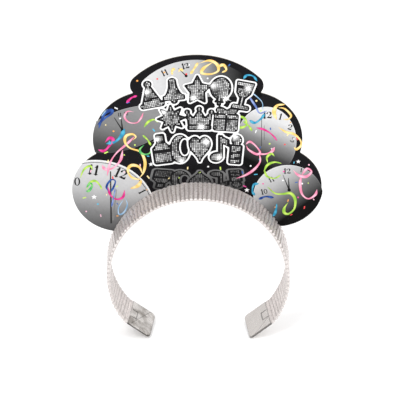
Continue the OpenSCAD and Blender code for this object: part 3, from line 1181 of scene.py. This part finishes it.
# Rows of icons: icon, centre x, centre z, half width, half height, turn in degrees
ICONS = (
    (icon_hat, -38.3, 154.4, 9.4, 12.4, 12), (icon_bell, -19.8, 157.6, 8.2, 12.0, 6),
    (icon_star, -0.5, 158.2, 9.2, 12.4, 0), (icon_balloon, 17.8, 157.6, 9.4, 12.4, -6),
    (icon_glass, 35.8, 153.0, 10.4, 12.6, -12),
    (icon_burst, -21.2, 132.2, 9.8, 10.6, 4), (icon_crown, 1.0, 131.6, 9.4, 10.2, 0),
    (icon_gift, 22.4, 131.6, 10.4, 10.8, -4),
    (icon_bottle, -28.8, 103.8, 11.6, 13.4, 8), (icon_moon, -14.4, 104.0, 7.0, 12.4, 0),
    (icon_heart, 1.4, 104.6, 8.0, 11.4, 0), (icon_note, 17.0, 104.2, 8.0, 12.6, 0),
    (icon_candle, 30.2, 102.8, 9.4, 13.2, -5),
)
FLOOR_ROW = 8                     # the icons from here on have a mirror image below them
MIRROR_Z = 86.5
MIRROR_SQUEEZE = 0.62
WHITE_EDGE = 2.3                  # how far the white outline stands out from an icon
BLACK_EDGE = 1.0
STONE = 1.42                      # spacing of the stones
GLINTS = (
    (-40.8, 156.5), (-3.5, 151), (12, 162.5), (22.5, 150.5), (40, 160), (-27.5, 138),
    (2.5, 124.5), (-33, 112.5), (-13, 92.5), (6.5, 110.5), (17, 96), (29.5, 115.5),
)


def stones_of(icon, rng, dim, mirrored):
    """Square cut stones on an icon: points and faces, and a brightness and height per point."""
    make, x, z, a, b, turn = icon
    field = make(a, b)
    reach = int(1.3 * max(a, b) / STONE)
    steps = np.arange(-reach, reach + 1) * STONE
    gu, gv = np.meshgrid(steps, steps, indexing="ij")
    inside = field(gu, gv) < -0.28 * STONE
    c, s = math.cos(math.radians(turn)), math.sin(math.radians(turn))
    phase = int(rng.integers(1000))
    points, faces, tones, lifts = [], [], [], []
    half, table = 0.37 * STONE, 0.25 * STONE
    for u, v in zip(gu[inside], gv[inside]):
        px, pz = x + u * c - v * s, z + u * s + v * c
        glint = min(math.hypot(px - gx, pz - gz) for gx, gz in GLINTS)
        tone = 0.50 + 0.5 * ripple(u / 8, v / 8, phase) + rng.normal(0, 0.22)
        tone = max(tone, 0.05, 1.1 - 0.17 * glint if glint < 6 else 0)
        start = len(points)
        for size, high in ((half, 0.0), (table, 1.0)):
            for ku, kv in ((-1, -1), (1, -1), (1, 1), (-1, 1)):
                du, dv = ku * size * c - kv * size * s, ku * size * s + kv * size * c
                points.append((px + du, pz + dv))
                lifts.append(0.16 * high)
                # The table of the stone is brightest, and its lower facets are in shade
                tones.append(dim * min(0.95, tone * (1.0 if high else 0.6 + 0.2 * kv)))
        quads = [(4, 5, 6, 7)] + [(k, (k + 1) % 4, (k + 1) % 4 + 4, k + 4) for k in range(4)]
        faces += [tuple(start + k for k in q) for q in quads]
    points = np.array(points)
    if mirrored:
        points[:, 1] = MIRROR_Z + (MIRROR_Z - points[:, 1]) * MIRROR_SQUEEZE
        faces = [tuple(reversed(f)) for f in faces]
    return points, faces, np.array(tones), np.array(lifts)


def melted(fields, reach):
    """The union of fields, with the gaps between near ones filled in."""
    def field(x, z):
        weights = [np.exp(np.clip(-f(x, z) / reach, -60, 60)) for f in fields]
        return -reach * np.log(sum(weights))

    return field


def mirrored_field(field):
    """The field's reflection in the floor line, squeezed in height."""
    return lambda x, z: MIRROR_SQUEEZE * field(x, MIRROR_Z + (MIRROR_Z - z) / MIRROR_SQUEEZE)


def draw_glints(ink):
    """Bright stars where the stones catch the light."""
    sparkle = Layer("glints", 0.50)
    for k, (x, z) in enumerate(GLINTS):
        r = 2.3 + 0.5 * math.sin(2.3 * k)
        body = star_points(r, r, 8, 0.55, 11 * k) + [x, z]
        rays = star_points(1.9 * r, 1.9 * r, 4, 0.1, 9 * k) + [x, z]
        sparkle.add(body, [tuple(range(16))], even(0.97))
        sparkle.add(rays, [tuple(range(8))], even(0.97), 0.01)
    sparkle.build(ink)


def draw_mirror_image(ink, floor_row):
    """The faded reflection of the bottom row's outline and backing."""
    image = mirrored_field(floor_row)
    on_card = grown(card_outline, 0.8)
    bounds = (-62, 60, 58, 88)

    def fading(x, z):
        grey = 0.17 * np.clip(0.25 + (z - 64) / 22, 0.12, 1)
        return np.repeat(grey[:, None], 3, 1)

    ghost = Layer("mirror_outline", 0.05)
    ghost.shape(common(grown(image, WHITE_EDGE * 0.8), on_card), bounds, 0.5, fading)
    ghost.build(ink)
    ghost_black = Layer("mirror_backing", 0.07)
    ghost_black.shape(common(grown(image, BLACK_EDGE * 0.7), on_card), bounds, 0.45, BLACK)
    ghost_black.build(ink, dissolve=True)


def draw_motif(ink, gem):
    """The icons, from the white outline up to the glints, and their mirror image."""
    fields = [placed(make(a, b), x, z, turn) for make, x, z, a, b, turn in ICONS]
    everything = melted(fields, 0.7)
    bounds = (-62, 84, 58, 178)
    white = Layer("icon_outline", 0.26)
    white.shape(grown(everything, WHITE_EDGE), bounds, 0.5, even(0.93))
    white.build(ink, dissolve=True)
    black = Layer("icon_backing", 0.30)
    black.shape(grown(everything, BLACK_EDGE), bounds, 0.45, BLACK)
    black.build(ink, dissolve=True)

    # Painted highlight: a glow round each glint, white at its middle and fading into the black backing
    glint_halo = Layer("icon_glint_halo", 0.305)
    for x, z in GLINTS:
        def glow(px, pz, x=x, z=z):
            grey = np.clip(1.05 - np.hypot(px - x, pz - z) / 4.6, 0, 0.95) ** 1.5
            return np.repeat(grey[:, None], 3, 1)

        near = common(disc(x, z, 5), grown(everything, 0.4))
        glint_halo.shape(near, (x - 6, z - 6, x + 6, z + 6), 0.6, glow)
    glint_halo.build(ink)

    draw_mirror_image(ink, joined(*fields[FLOOR_ROW:]))

    rng = np.random.default_rng(7)
    for name, lift, icons, dim, mirrored in (
        ("icon_stones", 0.315, ICONS, 1.0, False),
        ("mirror_stones", 0.08, ICONS[FLOOR_ROW:], 0.26, True),
    ):
        layer = Layer(name, lift)
        for icon in icons:
            points, faces, tones, lifts = stones_of(icon, rng, dim, mirrored)
            grey = np.repeat(tones[:, None], 3, 1)
            layer.add(points, faces, lambda x, z, g=grey: g, lifts * (0.4 if mirrored else 1))
        layer.build(gem)

    draw_glints(ink)
    return grown(everything, WHITE_EDGE)


# ---- The card ----


def build_card():
    """The board, the printed film on its front, and the print."""
    board = thick_sheet("greyboard_card", card_outline, 1.0, film_high[1], board_high[1], 0.12)
    film = thick_sheet("print_film", card_outline, 1.0, film_low[1], film_high[1], 0.05)
    for piece, material, node, slot in (
        (board, board_material(), "card_board", "greyboard"),
        (film, ground_material(), "printed_foil_face", "printed_film"),
    ):
        piece.data.materials.append(material)
        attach(piece, "crown")
        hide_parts(node)

    ink = ink_material("print_ink", 0.09)
    gem = ink_material("gem_ink", 0.3)
    draw_clocks(ink)
    keep_off = draw_motif(ink, gem)
    draw_confetti(ink, keep_off)
    draw_streamers(ink)


def build_glue():
    """The hot-melt line in the corner between the card's back and the flutes."""
    reach = math.radians(62)
    angles = np.linspace(-reach, reach, 260)
    turns = np.linspace(0, math.tau, 14, endpoint=False)
    rng = np.random.default_rng(4)
    phase = rng.uniform(0, math.tau, 3)
    thick = 1.15 + 0.45 * np.sin(17 * angles + phase[0]) + 0.3 * np.sin(31 * angles + phase[1])
    thick *= smooth_step((reach - np.abs(angles)) / 0.03)
    thick = np.maximum(thick, 0.05)
    back = board_high[1]
    r = crest_r + 0.15 + thick[:, None] * (0.75 + 0.85 * np.sin(turns))
    y = back + thick[:, None] * (0.55 + 0.75 * np.cos(turns)) + 0 * r
    y = np.maximum(y, back - 0.1)
    r = np.maximum(r, crest_r - 0.9)
    x = r * np.sin(angles)[:, None]
    z = r * np.cos(angles)[:, None]
    glue = tube("glue_line", np.stack([x, y, z], -1))
    tidy_mesh(glue)
    glue.data.materials.append(glue_material())
    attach(glue, "crown")
    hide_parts("glue_beads")


# ---- Clips ----

CLIP_HALF_T = STRIP_H1 + 2 * FOIL_T - MID_H       # from the clip's middle to its outer faces
CLIP_EDGE_R = 0.6
CLIP_CORNER_R = 3.5
CLIP_SHEET_T = 0.26
CLIP_STAINED = {1: 0.08, -1: 0.85}                # how stained the right and left clips are
clip_low, clip_high = box_mm("end_clip_right")
clip_w = clip_high[1] - clip_low[1]


def clip_plates(side, seed):
    """The folded sheet: two plates joined round three edges, open at the mouth.

    The inner plate has the tongue's slot, and each clip has its own crease and dents.
    """
    whole = rect(CLIP_L / 2 - 20, 0, CLIP_L / 2 + 20, clip_w / 2, CLIP_CORNER_R)
    behind_mouth = rect(CLIP_L, 0, CLIP_L, clip_w)
    plate = common(whole, behind_mouth)
    tongue = line([(1.2, -4.7), (6.2, -4.7), (6.2, 4.7), (1.2, 4.7)], [0.45] * 4)
    bounds = (0, -clip_w / 2 - 0.5, CLIP_L + 0.5, clip_w / 2 + 0.5)
    verts, faces, edges = [], [], []
    for field, up in ((without(plate, tongue), -1), (plate, 1)):
        points, plate_faces = fill(field, bounds, 0.3)
        u, v = points.T           # along the clip from its mouth, and across it
        deep = -whole(u, v)
        rounding = np.sqrt(1 - (1 - np.clip(deep / CLIP_EDGE_R, 0, 1)) ** 2)
        dent = 0.16 * ripple(u / 7, v / 7, seed) + 0.05 * ripple(u / 2.4, v / 2.4, seed + 1)
        if side > 0:
            fold = (u - 4) * 0.62 + v + 7.5
        else:
            fold = (v - 3) * 0.5 - (u - 11)
        dent = dent + 0.22 * np.exp(-((fold / 0.7) ** 2)) * smooth_step(deep / 2)
        pressed = 0.12 * smooth_step((u - 1.0) / 3) * ((np.abs(v) < 4.4) & (u < 6.1)) * (up < 0)
        height = CLIP_HALF_T * rounding - 0.8 * (0.16 - dent * up) * smooth_step(deep / 2.5)
        height = np.minimum(height, CLIP_HALF_T * rounding)
        h = MID_H + up * (height - pressed)
        x, z = leg_point(side, len3 + u, h, v)
        start = len(verts)
        verts += np.stack([x, v, z], -1).tolist()
        faces += [tuple(start + k for k in f) for f in plate_faces]
        # Painted shade: darker towards the rims, and painted shade at the mouth, along the tongue's
        # slot and in the crease
        crease = 1 - 0.8 * np.exp(-((fold / 0.45) ** 2))
        dark = np.minimum.reduce([deep / 1.2, u / 0.7, tongue(u, v) / 0.5, crease])
        edges += dark.clip(0, 1).tolist()
    obj = add_object(f"end_clip_{SIDE_NAMES[side]}_sheet", verts, faces)
    set_attribute(obj, "edge", edges)
    tidy_mesh(obj, 0.01)
    solid = obj.modifiers.new("sheet", "SOLIDIFY")
    solid.thickness = CLIP_SHEET_T * MM
    solid.offset = -1
    apply_modifiers(obj)
    return obj


def build_band():
    """The sleeve and strip, each half in one piece across its hinge, and the clips on their ends."""
    foil, strip_look = foil_material(), strip_material()
    for side, seed in ((1, 11), (-1, 23)):
        leg = SIDE_NAMES[side]
        sleeve = foil_sleeve(side, seed)
        sleeve.data.materials.append(foil)
        strip = spring_strip(side)
        strip.data.materials.append(strip_look)
        for piece, node, slot in (
            (sleeve, "foil_sleeve_", "sleeve_foil"), (strip, "spring_strip_", "spring_strip"),
        ):
            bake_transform(piece)
            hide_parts(node + "crown", node + leg)
        clip = clip_plates(side, seed + 40)
        clip.data.materials.append(steel_material(f"clip_steel_{leg}", CLIP_STAINED[side]))
        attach(clip, leg + "_leg")
        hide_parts("end_clip_" + leg)


# ---- Stage ----

ELEVATION = 31                    # the camera looks down by this many degrees
DISTANCE = 12
VIEW_WIDTH = 0.320                # what the camera takes in, at the object
AIM = (0.0016, 0.0277, 0.0461)    # what it looks at
FLOOR_GAP = 0.0002


def aimed(name, data, place, target):
    """A light or camera at a place, which looks at a target."""
    obj = bpy.data.objects.new(name, data)
    obj.location = place
    obj.rotation_euler = (Vector(target) - Vector(place)).to_track_quat("-Z", "Y").to_euler()
    bpy.context.scene.collection.objects.link(obj)
    return obj


def build_floor():
    """The pale floor, just below the clips."""
    reach = 30 / MM
    z = (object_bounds()[0].z - FLOOR_GAP) / MM
    corners = [(-reach, -reach, z), (reach, -reach, z), (reach, reach, z), (-reach, reach, z)]
    floor = add_object("floor", corners, [(0, 1, 2, 3)], smooth=False)
    floor.data.materials.append(floor_material())


def build_lights():
    """Three soft lights and a pale world."""
    for name, place, width, height, power in (
        ("key", (-0.7, -0.9, 1.3), 0.9, 0.9, 14),
        ("fill", (1.1, -0.5, 0.9), 0.8, 0.8, 7),
        ("back", (0.2, 1.2, 1.0), 1.0, 0.6, 6),
    ):
        light = bpy.data.lights.new(name, "AREA")
        light.shape = "RECTANGLE"
        light.size, light.size_y = width, height
        light.energy = power
        aimed(name, light, place, (0, 0, 0.06))

    world = bpy.data.worlds.new("studio")
    world.use_nodes = True
    background = world.node_tree.nodes["Background"]
    background.inputs["Color"].default_value = (1, 1, 1, 1)
    background.inputs["Strength"].default_value = 0.75
    bpy.context.scene.world = world
    bpy.context.scene.view_settings.view_transform = "Standard"


def build_camera():
    """A distant camera, so that the view is nearly without perspective."""
    camera = bpy.data.cameras.new("camera")
    camera.sensor_width = 36
    camera.lens = camera.sensor_width * DISTANCE / VIEW_WIDTH
    camera.clip_end = 100
    tilt = math.radians(ELEVATION)
    place = Vector(AIM) + DISTANCE * Vector((0, -math.cos(tilt), math.sin(tilt)))
    bpy.context.scene.camera = aimed("camera", camera, place, AIM)


build_band()
build_card()
build_glue()
build_floor()
build_lights()
build_camera()
